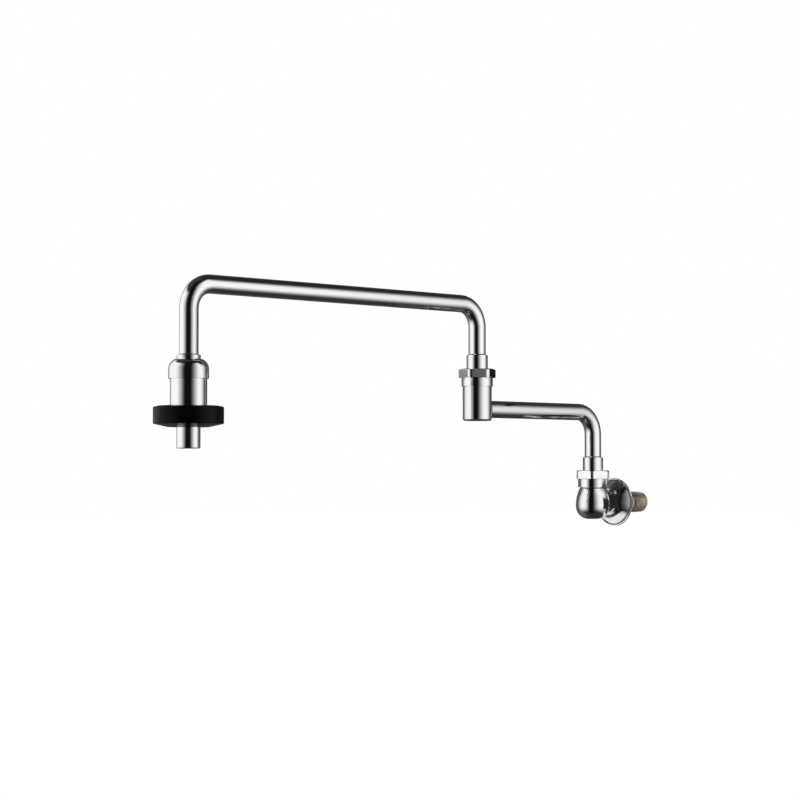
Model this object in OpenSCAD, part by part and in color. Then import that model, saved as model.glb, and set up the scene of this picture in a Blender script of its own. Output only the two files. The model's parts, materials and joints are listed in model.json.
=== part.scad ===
// Wall-mounted faucet with a spout in two swinging arms and a dial valve at its outlet.
// The origin is on the inlet's axis at the wall, +Y goes into the wall and +Z is up.

/* [Arms] */
// Distance from the wall to the base swivel's axis
wall_offset = 33; // [31:0.5:60]
// Reach of the first arm, from swivel axis to swivel axis
first_reach = 168; // [120:1:260]
// Reach of the second arm, from swivel axis to outlet axis
second_reach = 351; // [280:1:450]
// Height of the first arm's level run above the inlet's axis
first_arm_z = 91.8; // [80:0.2:130]
// Height of the second arm's level run above the first arm's
second_rise = 101; // [85:0.2:140]
// Outside diameter of the arm tubes
tube_d = 16.8; // [16:0.1:17.6]
// Wall of the arm tubes
tube_wall = 1.2; // [0.8:0.1:1.6]
// Centre-line radius of the tube bends
bend_r = 22.5; // [17:0.5:30]

/* [Inlet] */
// Outside diameter of the inlet nipple, a half-inch pipe
nipple_d = 21.34; // [20.6:0.02:21.8]
// Wall of the inlet nipple
nipple_wall = 2.77; // [2:0.01:3.2]
// Length of the nipple behind the wall's face
nipple_reach = 42; // [30:1:90]
// Length of the nipple inside the elbow's leg
nipple_grip = 12; // [10:0.5:13]
// Chamfer at the nipple's ends
nipple_chamfer = 1.4; // [0.5:0.1:2]
// How much the thread at the elbow is smaller than the pipe
nipple_relief = 0.5; // [0.2:0.1:0.8]

/* [Wall flange] */
// Diameter of the wall flange
flange_d = 49.2; // [44:0.2:60]
// Rise of the flange from the wall to the elbow's leg
flange_rise = 9.6; // [8:0.1:12]
// Metal thickness of the flange
flange_wall = 1.2; // [0.8:0.1:1.6]
// Width of the flange's rolled rim
flange_rim = 2.4; // [1.8:0.1:3]

/* [Elbow] */
// Widest diameter of the elbow's belly
elbow_d = 35; // [33:0.2:40]
// Height of the widest place, below the inlet's axis
belly_drop = 2.8; // [1:0.1:4]
// Depth of the elbow's bottom below the inlet's axis
elbow_depth = 16.9; // [16:0.1:20]
// Radius of the rounded bottom edge
elbow_round = 13; // [10:0.1:13]
// Diameter of the elbow under the nut
elbow_neck_d = 26.4; // [26:0.1:29]
// Height of the elbow's shoulder above the inlet's axis
elbow_shoulder = 15.1; // [14:0.1:20]
// Diameter of the elbow's leg towards the wall
leg_d = 25.8; // [25:0.1:28]
// Diameter of the water way in the elbow
water_way_d = 17; // [14:0.2:17]

/* [Swivel nuts] */
// Size of the nut across its flats
nut_af = 32.5; // [31.5:0.1:36]
// Radius of the hexagon's rounded corners
nut_corner = 4.5; // [3:0.1:6]
// Height of the hexagon
nut_hex_h = 8.7; // [7.5:0.1:11]
// Diameter of the round skirt
nut_skirt_d = 30.4; // [29.6:0.1:31]
// Height of the round skirt
nut_skirt_h = 8.4; // [7:0.1:10]
// Thickness of the nut above the collar
nut_shelf = 3.4; // [2.4:0.1:4]
// Turn of the base nut about its axis, in degrees
base_nut_turn = 9; // [0:1:59]
// Turn of the middle nut about its axis, in degrees
middle_nut_turn = 51; // [0:1:59]
// Diameter of the thread that the nuts run on
joint_thread_d = 26; // [25.8:0.1:26.4]

/* [Ferrules] */
// Diameter of the sleeve that shows above the nut
sleeve_d = 20.7; // [20.4:0.1:21]
// Length of the sleeve that shows above a swivel nut
sleeve_show = 13.3; // [8:0.1:18]
// Diameter of the turning collar
collar_d = 25.2; // [24.4:0.1:25.4]
// Height of the turning collar
collar_h = 2.5; // [1.6:0.1:3]
// Length of the tail below the collar
tail_h = 18; // [14:0.5:19]
// Thickness of the slip washers
slip_h = 0.8; // [0.5:0.1:1]
// Cross-section of the O-rings
ring_cs = 1.8; // [1.6:0.1:1.8]
// Distance of an O-ring from the tail's end
ring_inset = 4; // [3:0.2:5]

/* [Middle body] */
// Diameter of the middle swivel's body
middle_d = 28.2; // [27.6:0.1:32]
// Depth of the body below the first arm's axis
middle_below = 11.5; // [10.8:0.1:16]
// Height of the body's shoulder above the first arm's axis
middle_above = 21.3; // [20:0.1:28]
// Diameter of the water chamber in the body
middle_chamber_d = 18.8; // [17:0.2:19.4]
// Chamfer around the body's bottom
middle_chamfer = 1.4; // [0.5:0.1:2]

/* [Valve] */
// Distance from the second arm's axis down to the valve body's shoulder
valve_drop = 82.8; // [76:0.2:110]
// Diameter of the valve body
valve_d = 31.8; // [31.4:0.1:34]
// Height of the valve body below its shoulder
valve_h = 29.2; // [29:0.1:34]
// Diameter of the domed cap
cap_d = 34.8; // [34.2:0.1:38]
// Height of the domed cap
cap_h = 17.6; // [17:0.1:20]
// Radius of the dome's edge
cap_round = 9; // [4:0.2:10]
// Diameter of the thread that joins the cap and the body
valve_thread_d = 28; // [27.6:0.1:28.4]
// Height of the body's threaded top
valve_spigot_h = 8; // [7.6:0.1:8.4]
// Length of the sleeve that shows above the cap
valve_sleeve_show = 2.9; // [2:0.1:10]
// Thickness of the cap's gasket
cap_gasket_h = 1.2; // [0.8:0.1:1.6]

/* [Seat and disc] */
// Diameter of the seat's opening
seat_d = 10.4; // [8:0.1:10.6]
// Diameter of the seat ring's thread
seat_thread_d = 20; // [18:0.1:20.4]
// Height of the seat's raised lip
seat_lip_h = 0.6; // [0.4:0.1:0.8]
// Diameter of the disc's chamber
chamber_d = 24.4; // [24:0.1:25]
// Thickness of the rubber washer
washer_h = 2.6; // [2:0.1:3]
// Diameter of the rubber washer
washer_d = 15.2; // [14:0.1:16]
// Thickness of the washer holder
holder_h = 1.8; // [1.4:0.1:2.2]

/* [Spindle] */
// Diameter of the spindle in its guide
spindle_d = 16.8; // [16.4:0.1:17.2]
// Diameter of the spindle's bore
spindle_bore_d = 9; // [7:0.1:9]
// Travel of the spindle from closed to open
open_travel = 2.5; // [1.5:0.1:2.6]
// Diameter of a cross port
port_d = 4; // [2.5:0.1:4]
// Number of cross ports
port_count = 6; // [3:1:6]
// Size of the square drive across its flats
drive_af = 11.6; // [11:0.1:11.8]
// Length of the spindle's lower thread
nozzle_thread_h = 9; // [7:0.5:10]

/* [Dial] */
// Diameter of the dial
dial_d = 60.7; // [50:0.1:80]
// Height of the dial's rim
rim_h = 14.4; // [12:0.1:18]
// Depth of the taper under the rim
taper_h = 2.8; // [1:0.1:4]
// Diameter of the flat under the dial
dial_flat_d = 36; // [30:0.5:40]
// Rise of the dial's top from the rim to its flat
dial_crown = 1.1; // [0.5:0.1:3]
// Diameter of the flat on the dial's top
dial_top_d = 52; // [40:0.5:56]
// How far the dial reaches up around the valve body when shut
dial_overlap = 6.3; // [4:0.1:7]
// Free height under the valve body in the dial
dial_well = 1.5; // [0.5:0.1:2]
// Size of the brass insert across its flats
insert_af = 17.4; // [17:0.1:17.6]

/* [Outlet] */
// Diameter of the outlet nozzle
nozzle_d = 20.6; // [20.4:0.1:24]
// Length of the nozzle that shows below the dial
nozzle_h = 18.3; // [15:0.1:40]
// Diameter of the nozzle's bore
nozzle_bore_d = 14.8; // [13:0.1:16]

/* [Hidden] */
$fn = 96;

// Running clearance between a turning piece and its bore, on the radius
run_gap = 0.08;
// Slip clearance where a piece passes through another, on the radius
slip_gap = 0.2;
// Thread and seat clearance inside one body
hair = 0.04;
// How far a cutting solid runs past what it cuts
past = 1;
// Clearance of an O-ring from the bore and from its groove's floor
ring_gap = 0.06;
// How much taller an O-ring's groove is than the ring
groove_play = 0.5;
// Chamfer on the edges of turned pieces
edge = 0.6;

tube_r = tube_d / 2;
tube_bore_r = tube_r - tube_wall;
nipple_r = nipple_d / 2;
nipple_bore_r = nipple_r - nipple_wall;
leg_r = leg_d / 2;
sleeve_r = sleeve_d / 2;
collar_r = collar_d / 2;
joint_thread_r = joint_thread_d / 2;

// Heights in a swivel joint, above the lower edge of its nut
nut_gap = 0.4;
nut_h = nut_skirt_h + nut_hex_h;
nut_flat_r = nut_af / 2;
nut_top_r = nut_flat_r - edge;
nut_chamfer_angle = 25;
nut_corner_past = 0.005;
shelf_z = nut_h - nut_shelf;
upper_washer_z = shelf_z - hair - slip_h;
collar_z = upper_washer_z - hair - collar_h;
lower_washer_z = collar_z - hair - slip_h;
spigot_top_z = lower_washer_z;
tail_end_z = collar_z - tail_h;
socket_end_z = tail_end_z - slip_gap;
sleeve_top_z = nut_h + sleeve_show;
tube_stop_z = collar_z + collar_h / 2;
socket_r = sleeve_r + run_gap;
washer_in_r = sleeve_r + slip_gap;
washer_out_r = joint_thread_r - slip_gap;
ring_r = ring_cs / 2;
ring_mid_r = socket_r - ring_gap - ring_r;
groove_r = ring_mid_r - ring_r - ring_gap;
groove_h = ring_cs + groove_play;
ring_low_z = tail_end_z + ring_inset;
ring_high_z = collar_z - ring_inset;

// Places of the two swivels and of the valve
base_y = -wall_offset;
middle_y = base_y - first_reach;
valve_y = middle_y - second_reach;
base_joint_z = elbow_shoulder + nut_gap;
middle_shoulder_z = first_arm_z + middle_above;
middle_joint_z = middle_shoulder_z + nut_gap;
second_arm_z = first_arm_z + second_rise;
valve_z = second_arm_z - valve_drop;

// Elbow
belly_r = elbow_d / 2;
neck_r = elbow_neck_d / 2;
water_way_r = water_way_d / 2;
flank_h = elbow_shoulder + belly_drop;
flank_in = belly_r - neck_r;
flank_r = (flank_h * flank_h + flank_in * flank_in) / (2 * flank_in);
leg_end = wall_offset - flange_rise;
nipple_in_r = nipple_r - nipple_relief;
nipple_end = leg_end - nipple_grip;

// Middle body
middle_r = middle_d / 2;
middle_chamber_r = middle_chamber_d / 2;
chamber_step = 0.6;
middle_floor = middle_below - tube_r - chamber_step;

// Valve, in heights above the body's shoulder
valve_r = valve_d / 2;
cap_r = cap_d / 2;
valve_thread_r = valve_thread_d / 2;
cap_gap = 0.15;
gasket_z = valve_spigot_h;
valve_collar_z = gasket_z + cap_gasket_h;
valve_collar_gap = 0.8;
valve_collar_r = valve_thread_r - valve_collar_gap;
gasket_inset = 0.2;
gasket_out_r = valve_collar_r - gasket_inset;
gasket_in_r = tube_bore_r + gasket_inset;
cap_shelf_z = valve_collar_z + collar_h + hair;
valve_sleeve_top = cap_h + valve_sleeve_show;
valve_tube_lift = 1;
valve_tube_stop = valve_collar_z + valve_tube_lift;
chamber_r = chamber_d / 2;
chamber_top = 1.2;
seat_flange_h = 1.6;
seat_flange_gap = 0.6;
seat_flange_r = chamber_r - seat_flange_gap;
seat_r = seat_d / 2;
seat_thread_r = seat_thread_d / 2;
seat_under = chamber_top - seat_flange_h;
seat_lip_z = seat_under - seat_lip_h;
seat_lip_w = 1.2;
seat_top_drop = 1;
seat_top = valve_spigot_h - seat_top_drop;
seat_hex_floor = 2.4;
seat_hex_z = seat_under + seat_hex_floor;
seat_hex_r = seat_r * 1.14;

// Disc
washer_top = seat_lip_z - 2 * hair;
washer_z = washer_top - washer_h;
holder_z = washer_z - holder_h;
washer_r = washer_d / 2;
holder_rim_w = 1.3;
holder_r = washer_r + holder_rim_w;
holder_rim = washer_h * 0.4;
holder_stem_r = 2.5;
holder_stem_h = 2.2;
screw_r = 1.5;
screw_head_r = 3.3;
screw_head_h = 1.6;
screw_grip = 3.2;
driver_w = 0.8;

// Spindle
spindle_r = spindle_d / 2;
spindle_bore_r = spindle_bore_d / 2;
guide_r = spindle_r + run_gap;
spindle_top = holder_z - hair;
spindle_socket_end = spindle_top - holder_stem_h - slip_gap;
spindle_web = 1.1;
bore_top = spindle_socket_end - spindle_web;
port_margin = 0.2;
port_z = bore_top - port_margin - port_d / 2;
stop_z = port_z - port_d / 2 - port_margin;
stop_h = 1.4;
stop_side_gap = 2.4;
stop_r = chamber_r - stop_side_gap;
stop_gap = 0.1;
chamber_floor = stop_z - stop_h - open_travel - stop_gap;
neck_step = 1.2;
spindle_neck_r = spindle_r - neck_step;
spindle_ring_cs = 1.8;
spindle_ring_r = spindle_ring_cs / 2;
spindle_ring_mid_r = guide_r - ring_gap - spindle_ring_r;
spindle_groove_r = spindle_ring_mid_r - spindle_ring_r - ring_gap;
spindle_groove_h = spindle_ring_cs + groove_play;
groove_land = 1.2;
spindle_ring_z = -valve_h + open_travel + spindle_groove_h / 2 + groove_land;
nozzle_thread_step = 0.1;
nozzle_thread_r = drive_af / 2 + nozzle_thread_step;
gasket_thick = 1;

// Dial, in heights above the valve body's shoulder
dial_r = dial_d / 2;
dial_top = dial_overlap - valve_h;
rim_top = dial_top - dial_crown;
rim_low = rim_top - rim_h;
dial_low = rim_low - taper_h;
dial_flat_r = dial_flat_d / 2;
dial_top_r = dial_top_d / 2;
well_floor = -valve_h - dial_well;
well_side_gap = 0.5;
well_r = valve_r + well_side_gap;
drive_stand = 1.6;
drive_low = dial_low + drive_stand;
spindle_low = dial_low - nozzle_thread_h;
insert_r = insert_af / 2 / cos(30);

// Nozzle
nozzle_r = nozzle_d / 2;
nozzle_bore_r = nozzle_bore_d / 2;
nozzle_low = dial_low - nozzle_h;
nozzle_seat_z = spindle_low - gasket_thick;
nozzle_lip = 0.8;

// Flange
flange_r = flange_d / 2;
flange_hole_gap = 0.3;
flange_hole_r = nipple_r + flange_hole_gap;
flange_seat_w = 0.8;
flange_top_r = leg_r + flange_seat_w;
rim_round = flange_rim / 2;
flange_foot_r = flange_r - flange_rim;
flange_drop = flange_rise - rim_round;
flange_side = flange_foot_r - flange_top_r;
flange_slope = atan(flange_drop / flange_side);
flange_bow = 6;
flange_arc_r = sqrt(flange_side * flange_side + flange_drop * flange_drop) / (2 * sin(flange_bow));
flange_arc_x = flange_top_r - flange_arc_r * sin(flange_slope - flange_bow);
flange_arc_y = flange_rise - flange_arc_r * cos(flange_slope - flange_bow);

module at_base()
  translate([0, base_y, base_joint_z])
    children();

module at_middle()
  translate([0, middle_y, middle_joint_z])
    children();

module at_valve()
  translate([0, valve_y, valve_z])
    children();

// A round ring about the Z axis
module ring(out_r, in_r, low, high)
  translate([0, 0, low])
    difference() {
      cylinder(r = out_r, h = high - low);
      translate([0, 0, -past])
        cylinder(r = in_r, h = high - low + 2 * past);
    }

// An O-ring about the Z axis
module o_ring(mid_r, section_r, z)
  translate([0, 0, z])
    rotate_extrude()
      translate([mid_r, 0])
        circle(r = section_r);

// A quarter of a disc, its corner at the origin
module quarter(r)
  intersection() {
    circle(r = r);
    square(r);
  }

// Inlet

module inlet_nipple() {
  inner = -flange_rise - nipple_grip;
  color("darkgoldenrod")
    rotate([-90, 0, 0])
      rotate_extrude()
        polygon([
          [nipple_bore_r, inner],
          [nipple_in_r - nipple_chamfer, inner],
          [nipple_in_r, inner + nipple_chamfer],
          [nipple_in_r, 0],
          [nipple_r, 0],
          [nipple_r, nipple_reach - nipple_chamfer],
          [nipple_r - nipple_chamfer, nipple_reach],
          [nipple_bore_r, nipple_reach]
        ]);
}

// The spun metal, a flat ring at the elbow and a slightly bowed cone down to the rim
module flange_profile(inset, below)
  intersection() {
    translate([flange_arc_x, flange_arc_y])
      circle(r = flange_arc_r - inset);
    translate([0, -below])
      square([flange_foot_r, flange_rise - inset + below]);
  }

module wall_flange()
  color("silver")
    rotate([90, 0, 0])
      rotate_extrude()
        difference() {
          union() {
            flange_profile(0, 0);
            translate([flange_foot_r - rim_round, 0])
              square([flange_rim, rim_round]);
            translate([flange_r - rim_round, 0])
              quarter(rim_round);
          }
          translate([0, -past])
            square([flange_hole_r, flange_rise + 2 * past]);
          flange_profile(flange_wall, past);
        }

module elbow_belly()
  rotate_extrude() {
    intersection() {
      translate([belly_r - flank_r, -belly_drop])
        circle(r = flank_r);
      translate([0, -belly_drop])
        square([belly_r, flank_h]);
    }
    translate([0, -elbow_depth])
      square([belly_r - elbow_round, elbow_depth - belly_drop]);
    translate([0, elbow_round - elbow_depth])
      square([belly_r, elbow_depth - elbow_round - belly_drop]);
    translate([belly_r - elbow_round, elbow_round - elbow_depth])
      mirror([0, 1])
        quarter(elbow_round);
  }

// The threaded top of a fixed swivel body, with its edge broken
module joint_spigot(low)
  rotate_extrude()
    polygon([
      [0, low],
      [joint_thread_r, low],
      [joint_thread_r, spigot_top_z - edge],
      [joint_thread_r - edge, spigot_top_z],
      [0, spigot_top_z]
    ]);

module joint_socket()
  translate([0, 0, socket_end_z])
    cylinder(r = socket_r, h = spigot_top_z - socket_end_z + past);

module elbow_body() {
  color("silver")
    translate([0, base_y, 0])
      difference() {
        union() {
          elbow_belly();
          rotate([-90, 0, 0])
            rotate_extrude()
              polygon([
                [0, 0],
                [leg_r, 0],
                [leg_r, leg_end - edge],
                [leg_r - edge, leg_end],
                [0, leg_end]
              ]);
          translate([0, 0, base_joint_z])
            joint_spigot(-nut_gap - past);
        }
        translate([0, 0, base_joint_z])
          joint_socket();
        cylinder(r = water_way_r, h = base_joint_z + socket_end_z + past);
        sphere(r = water_way_r);
        rotate([-90, 0, 0])
          cylinder(r = nipple_bore_r, h = leg_end + past);
        translate([0, nipple_end - hair, 0])
          rotate([-90, 0, 0])
            cylinder(r = nipple_in_r + hair, h = nipple_grip + past);
      }
}

// Swivel joint pieces, about the Z axis with the nut's lower edge at 0

// A hexagon with rounded corners, whose circles stand a little past the flats to meet them in a clean line
module rounded_hexagon(flat_r, corner_r) {
  centre_r = (flat_r - corner_r) / cos(30);
  cut_r = centre_r + corner_r * cos(30);
  intersection() {
    circle(r = flat_r / cos(30), $fn = 6);
    union() {
      rotate([0, 0, 30])
        circle(r = cut_r / cos(30), $fn = 6);
      for (i = [0 : 5])
        rotate([0, 0, 60 * i])
          translate([centre_r, 0])
            circle(r = corner_r + nut_corner_past);
    }
  }
}

// The nut's outside as a lathe would leave it, with the chamfer over the hexagon's corners
module nut_envelope() {
  wide_r = nut_flat_r + nut_corner;
  rotate_extrude()
    polygon([
      [0, 0],
      [wide_r, 0],
      [wide_r, nut_h - (wide_r - nut_top_r) * tan(nut_chamfer_angle)],
      [nut_top_r, nut_h],
      [0, nut_h]
    ]);
}

module swivel_nut(turn)
  rotate([0, 0, turn])
    difference() {
      union() {
        cylinder(r = nut_skirt_d / 2, h = nut_skirt_h + past);
        intersection() {
          translate([0, 0, nut_skirt_h])
            linear_extrude(height = nut_hex_h)
              rounded_hexagon(nut_flat_r, nut_corner);
          nut_envelope();
        }
      }
      translate([0, 0, -past])
        cylinder(r = joint_thread_r + hair, h = shelf_z + past);
      cylinder(r = sleeve_r + slip_gap, h = nut_h + past);
    }

module slip_washer(z)
  ring(washer_out_r, washer_in_r, z, z + slip_h);

module joint_ferrule()
  rotate_extrude()
    difference() {
      union() {
        translate([0, tail_end_z])
          square([sleeve_r, sleeve_top_z - tail_end_z]);
        translate([0, collar_z])
          square([collar_r, collar_h]);
      }
      translate([0, tail_end_z - past])
        square([tube_bore_r, tail_h + past + collar_h]);
      translate([0, tube_stop_z])
        square([tube_r + hair, sleeve_top_z]);
      for (z = [ring_low_z, ring_high_z])
        translate([groove_r, z - groove_h / 2])
          square([sleeve_r, groove_h]);
    }

module joint_o_rings()
  for (z = [ring_low_z, ring_high_z])
    o_ring(ring_mid_r, ring_r, z);

module base_nut()
  color("gainsboro")
    at_base()
      swivel_nut(base_nut_turn);

module base_lower_washer()
  color("white")
    at_base()
      slip_washer(lower_washer_z);

module base_upper_washer()
  color("white")
    at_base()
      slip_washer(upper_washer_z);

module base_ferrule()
  color("gainsboro")
    at_base()
      joint_ferrule();

module base_o_rings()
  color("dimgray")
    at_base()
      joint_o_rings();

module middle_nut()
  color("gainsboro")
    at_middle()
      swivel_nut(middle_nut_turn);

module middle_lower_washer()
  color("white")
    at_middle()
      slip_washer(lower_washer_z);

module middle_upper_washer()
  color("white")
    at_middle()
      slip_washer(upper_washer_z);

module middle_ferrule()
  color("gainsboro")
    at_middle()
      joint_ferrule();

module middle_o_rings()
  color("dimgray")
    at_middle()
      joint_o_rings();

// Tubes

module tube_section()
  difference() {
    circle(r = tube_r);
    circle(r = tube_bore_r);
  }

module riser(x_y, low, high)
  translate([0, x_y, low])
    linear_extrude(height = high - low)
      tube_section();

module level_run(near, far, z)
  translate([0, near, z])
    rotate([90, 0, 0])
      linear_extrude(height = near - far)
        tube_section();

// A quarter bend about the point y, z, from the given angle on
module quarter_bend(y, z, start)
  translate([0, y, z])
    rotate([90, 0, 90])
      rotate([0, 0, start])
        rotate_extrude(angle = 90)
          translate([bend_r, 0])
            tube_section();

module first_arm_tube() {
  bend_z = first_arm_z - bend_r;
  color("silver") {
    riser(base_y, base_joint_z + tube_stop_z, bend_z);
    quarter_bend(base_y - bend_r, bend_z, 0);
    level_run(base_y - bend_r, middle_y + middle_chamber_r, first_arm_z);
  }
}

module second_arm_tube() {
  bend_z = second_arm_z - bend_r;
  color("silver") {
    riser(middle_y, middle_joint_z + tube_stop_z, bend_z);
    quarter_bend(middle_y - bend_r, bend_z, 0);
    level_run(middle_y - bend_r, valve_y + bend_r, second_arm_z);
    quarter_bend(valve_y + bend_r, bend_z, 90);
    riser(valve_y, valve_z + valve_tube_stop, bend_z);
  }
}

module middle_body() {
  low = first_arm_z - middle_below;
  color("silver")
    translate([0, middle_y, 0])
      difference() {
        union() {
          rotate_extrude()
            polygon([
              [0, low],
              [middle_r - middle_chamfer, low],
              [middle_r, low + middle_chamfer],
              [middle_r, middle_shoulder_z],
              [0, middle_shoulder_z]
            ]);
          translate([0, 0, middle_joint_z])
            joint_spigot(-nut_gap - past);
        }
        translate([0, 0, middle_joint_z])
          joint_socket();
        translate([0, 0, low + middle_floor])
          cylinder(r = middle_chamber_r, h = middle_above + middle_below - middle_floor);
        translate([0, 0, first_arm_z])
          rotate([-90, 0, 0])
            cylinder(r = tube_r + hair, h = middle_r + past);
      }
}

// Valve

module valve_ferrule()
  color("gainsboro")
    at_valve()
      rotate_extrude()
        difference() {
          union() {
            translate([0, valve_collar_z])
              square([sleeve_r, valve_sleeve_top - valve_collar_z]);
            translate([0, valve_collar_z])
              square([valve_collar_r, collar_h]);
          }
          translate([0, valve_collar_z - past])
            square([tube_bore_r, 2 * past + collar_h]);
          translate([0, valve_tube_stop])
            square([tube_r + hair, valve_sleeve_top]);
        }

module valve_cap()
  color("gainsboro")
    at_valve()
      rotate_extrude()
        difference() {
          union() {
            translate([0, cap_gap])
              square([cap_r, cap_h - cap_round - cap_gap]);
            square([cap_r - cap_round, cap_h]);
            translate([cap_r - cap_round, cap_h - cap_round])
              quarter(cap_round);
          }
          translate([0, -past])
            square([valve_thread_r + hair, valve_collar_z + past]);
          square([valve_collar_r + slip_gap, cap_shelf_z]);
          square([sleeve_r + hair, cap_h + past]);
        }

module cap_gasket()
  color("dimgray")
    at_valve()
      ring(gasket_out_r, gasket_in_r, gasket_z, gasket_z + cap_gasket_h);

module valve_body()
  color("silver")
    at_valve()
      rotate_extrude()
        difference() {
          union() {
            translate([0, -valve_h])
              square([valve_r, valve_h]);
            square([valve_thread_r, valve_spigot_h]);
          }
          translate([0, -valve_h - past])
            square([guide_r, valve_h + past]);
          translate([0, chamber_floor])
            square([chamber_r, chamber_top - chamber_floor]);
          square([seat_thread_r + hair, valve_spigot_h + past]);
        }

module valve_seat()
  color("goldenrod")
    at_valve()
      difference() {
        rotate_extrude() {
          translate([seat_r, seat_lip_z])
            square([seat_lip_w, seat_lip_h]);
          translate([seat_r, seat_under])
            square([seat_flange_r - seat_r, seat_flange_h]);
          translate([seat_r, seat_under])
            square([seat_thread_r - seat_r, seat_top - seat_under]);
        }
        translate([0, 0, seat_hex_z])
          cylinder(r = seat_hex_r, h = seat_top, $fn = 6);
      }

module washer_holder()
  color("goldenrod")
    at_valve()
      rotate_extrude()
        difference() {
          union() {
            translate([0, holder_z])
              square([holder_r, holder_h + holder_rim]);
            translate([0, holder_z - holder_stem_h])
              square([holder_stem_r, holder_stem_h]);
          }
          translate([0, washer_z])
            square([washer_r + hair, holder_rim + past]);
          translate([0, washer_z - screw_grip])
            square([screw_r + hair, screw_grip + past]);
        }

module seat_washer()
  color("black")
    at_valve()
      ring(washer_r, screw_r + hair, washer_z, washer_top);

module washer_screw()
  color("lightgray")
    at_valve()
      difference() {
        union() {
          translate([0, 0, washer_z - screw_grip])
            cylinder(r = screw_r, h = washer_h + screw_grip + screw_head_h);
          translate([0, 0, washer_top])
            cylinder(r = screw_head_r, h = screw_head_h);
        }
        translate([-screw_head_r, -driver_w / 2, washer_top + screw_head_h / 2])
          cube([2 * screw_head_r, driver_w, screw_head_h]);
      }

module spindle()
  color("goldenrod")
    at_valve()
      difference() {
        union() {
          translate([0, 0, well_floor])
            cylinder(r = spindle_r, h = stop_z - well_floor);
          translate([0, 0, stop_z - stop_h])
            cylinder(r = stop_r, h = stop_h);
          translate([0, 0, stop_z - past])
            cylinder(r = spindle_neck_r, h = spindle_top - stop_z + past);
          translate([-drive_af / 2, -drive_af / 2, drive_low])
            cube([drive_af, drive_af, well_floor - drive_low + past]);
          translate([0, 0, spindle_low])
            cylinder(r = nozzle_thread_r, h = drive_low - spindle_low + past);
        }
        translate([0, 0, spindle_low - past])
          cylinder(r = spindle_bore_r, h = bore_top - spindle_low + past);
        translate([0, 0, spindle_socket_end])
          cylinder(r = holder_stem_r + run_gap, h = holder_stem_h + past);
        for (i = [0 : port_count - 1])
          translate([0, 0, port_z])
            rotate([0, 90, i * 360 / port_count])
              cylinder(r = port_d / 2, h = spindle_r);
        ring(spindle_r + past, spindle_groove_r, spindle_ring_z - spindle_groove_h / 2,
          spindle_ring_z + spindle_groove_h / 2);
      }

module spindle_o_ring()
  color("black")
    at_valve()
      o_ring(spindle_ring_mid_r, spindle_ring_r, spindle_ring_z);

// The square hole for the spindle's drive
module drive_hole(low, high)
  translate([-drive_af / 2 - hair, -drive_af / 2 - hair, low])
    cube([drive_af + 2 * hair, drive_af + 2 * hair, high - low]);

module dial_insert()
  color("goldenrod")
    at_valve()
      difference() {
        translate([0, 0, dial_low])
          cylinder(r = insert_r, h = well_floor - dial_low, $fn = 6);
        drive_hole(dial_low - past, well_floor + past);
      }

module control_dial()
  color("black")
    at_valve()
      difference() {
        rotate_extrude()
          difference() {
            polygon([
              [0, dial_low],
              [dial_flat_r, dial_low],
              [dial_r, rim_low],
              [dial_r, rim_top],
              [dial_top_r, dial_top],
              [0, dial_top]
            ]);
            translate([0, well_floor])
              square([well_r, dial_overlap + dial_well + past]);
          }
        translate([0, 0, dial_low - past])
          cylinder(r = insert_r + hair, h = well_floor - dial_low + 2 * past, $fn = 6);
      }

module nozzle_gasket()
  color("dimgray")
    at_valve()
      ring(nozzle_thread_r, spindle_bore_r, nozzle_seat_z, spindle_low);

module outlet_nozzle()
  color("silver")
    at_valve()
      rotate_extrude()
        difference() {
          polygon([
            [0, nozzle_low],
            [nozzle_r - edge, nozzle_low],
            [nozzle_r, nozzle_low + edge],
            [nozzle_r, dial_low],
            [0, dial_low]
          ]);
          translate([0, nozzle_seat_z])
            square([nozzle_thread_r + hair, nozzle_thread_h + gasket_thick + past]);
          translate([0, nozzle_seat_z - nozzle_lip])
            square([spindle_bore_r, nozzle_lip + past]);
          translate([0, nozzle_low - past])
            square([nozzle_bore_r, nozzle_seat_z - nozzle_lip - nozzle_low + past]);
        }

inlet_nipple();
wall_flange();
elbow_body();
base_nut();
base_lower_washer();
base_upper_washer();
base_ferrule();
base_o_rings();
first_arm_tube();
middle_body();
middle_nut();
middle_lower_washer();
middle_upper_washer();
middle_ferrule();
middle_o_rings();
second_arm_tube();
valve_ferrule();
valve_cap();
cap_gasket();
valve_body();
valve_seat();
washer_holder();
seat_washer();
washer_screw();
spindle();
spindle_o_ring();
dial_insert();
control_dial();
nozzle_gasket();
outlet_nozzle();
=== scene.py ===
# Wall-mounted faucet with a double-jointed spout. The imported solids take their real finishes. The
# inlet's thread, the solder and the pieces whose broken edges show are modelled here. Dark flags
# and cards stand round the part, because chrome shows little but what it reflects. They glow in
# their own greys and only reflections see them: they are painted reflections.

import json
import math

import bmesh
import bpy
from mathutils import Matrix, Vector


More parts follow.
